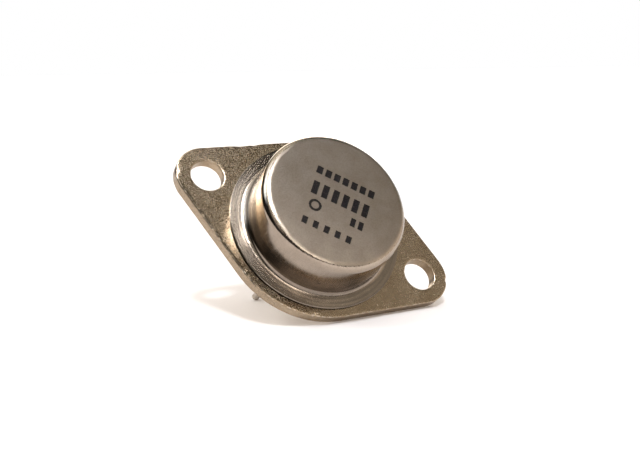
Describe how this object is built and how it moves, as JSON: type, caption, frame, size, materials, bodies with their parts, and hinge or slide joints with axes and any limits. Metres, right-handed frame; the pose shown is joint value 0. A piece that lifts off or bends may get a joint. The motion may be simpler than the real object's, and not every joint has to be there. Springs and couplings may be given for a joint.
{
  "type": "power transistor",
  "caption": "Drawn steel can welded on a diamond-shaped steel flange with a screw hole at each end and straight glass-sealed leads below.",
  "frame": {"origin": "centre of the flange's underside, halfway between the two screw holes", "axes": "+X from the screw hole on the leads' side to the other screw hole, +Z out of the can's top, the leads hang along -Z, the emitter lead is on the +Y side"},
  "size_m": [0.0382, 0.025, 0.0204],
  "materials": {
    "nickel_plated_steel": "satin nickel plate over steel, warm grey",
    "lead_wire": "drawn nickel-iron wire, plated",
    "seal_glass": "opaque dark sealing glass, fired",
    "copper": "satin copper",
    "braze": "fused silver braze",
    "solder": "soft solder, reflowed",
    "silicon": "polished silicon with metal contacts",
    "bond_wire": "drawn aluminium wire"
  },
  "bodies": {
    "root": {"base_plate": "nickel_plated_steel", "cap": "nickel_plated_steel", "emitter_pin": "lead_wire", "base_pin": "lead_wire", "emitter_seal": "seal_glass", "base_seal": "seal_glass", "heat_spreader": "copper", "spreader_braze": "braze", "die_solder": "solder", "silicon_die": "silicon", "emitter_wire_left": "bond_wire", "emitter_wire_right": "bond_wire", "base_wire": "bond_wire"}
  },
  "joints": []
}
